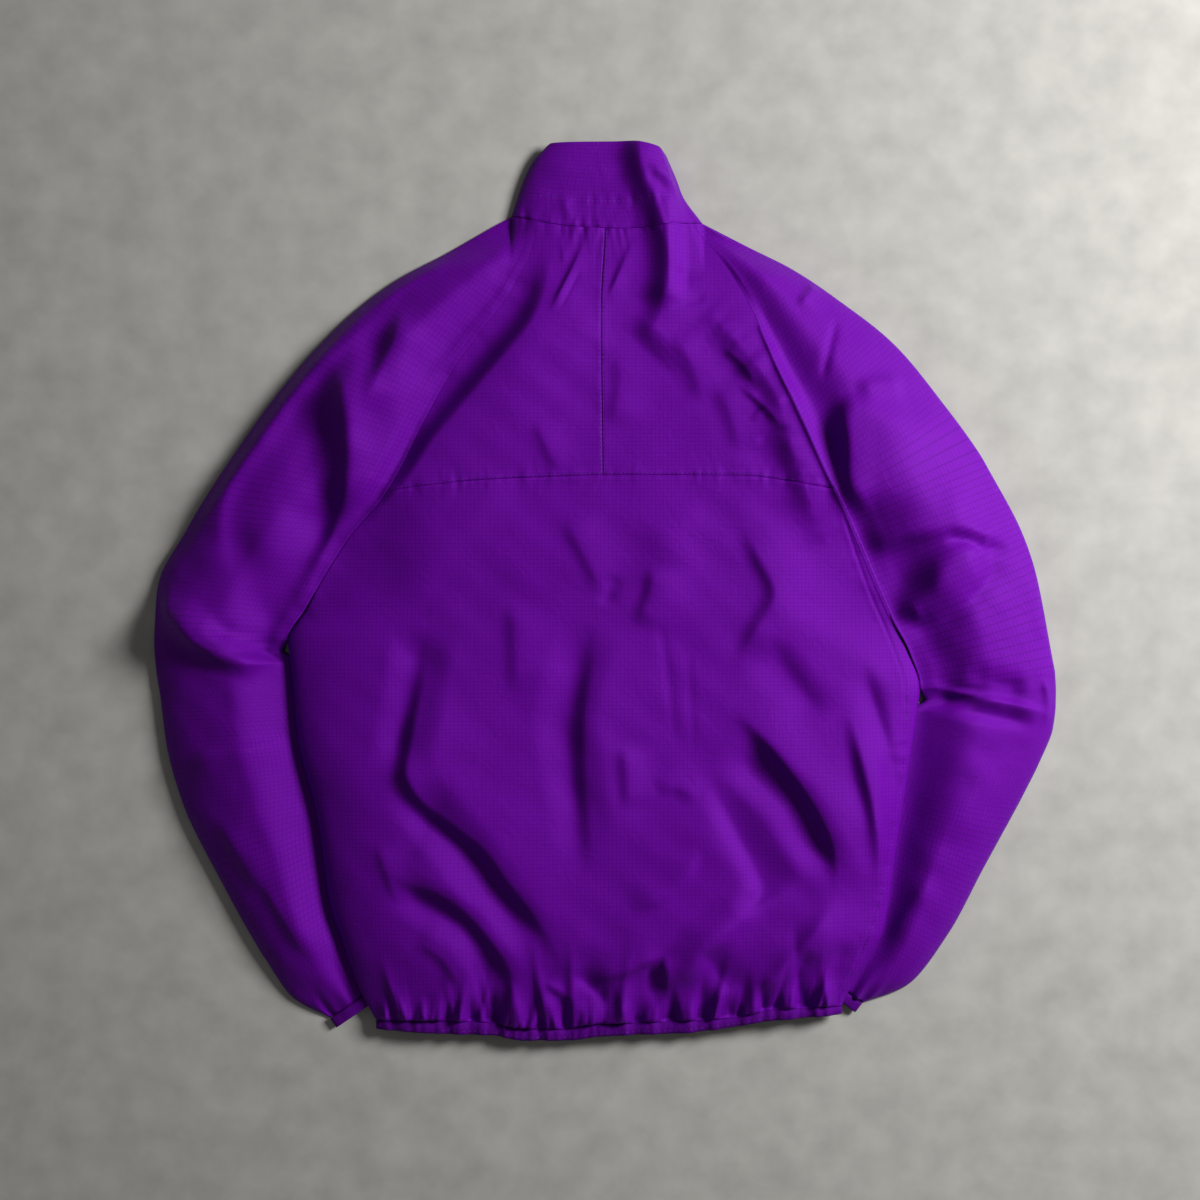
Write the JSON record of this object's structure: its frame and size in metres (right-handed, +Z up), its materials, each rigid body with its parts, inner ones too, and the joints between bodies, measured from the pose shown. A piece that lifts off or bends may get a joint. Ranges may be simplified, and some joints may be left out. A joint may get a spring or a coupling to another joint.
{
  "type": "windbreaker jacket",
  "caption": "Lightweight nylon windbreaker jacket with raglan sleeves, a stand collar and elastic hem and cuffs, laid flat face down with its back showing",
  "frame": {"origin": "middle of the outline on the surface that the jacket lies on", "axes": "+Z up out of the back of the jacket, +Y from hem to collar, +X to the right seen from above"},
  "size_m": [0.7882, 0.7804, 0.0354],
  "materials": {
    "cloth": "satin ripstop nylon",
    "binding": "gathered elastic binding",
    "zip": "woven tape and nylon coil",
    "metal": "painted zinc, satin"
  },
  "bodies": {
    "jacket": {"back_lower": "cloth", "back_yoke_left": "cloth", "back_yoke_right": "cloth", "front_left": "cloth", "front_right": "cloth", "sleeve_left": "cloth", "sleeve_right": "cloth", "collar": "cloth", "hem_binding": "binding", "cuff_left": "binding", "cuff_right": "binding", "zip_left": "zip", "zip_right": "zip", "zip_slider": "metal"},
    "pull_tab": {"pull_tab": "metal"}
  },
  "joints": [
    {"name": "pull_tab_hinge", "type": "hinge", "parent": "jacket", "child": "pull_tab", "pos_m": [0, 0.3186, 0.00199], "axis": [1, 0, 0], "range_deg": [0, 165]}
  ]
}
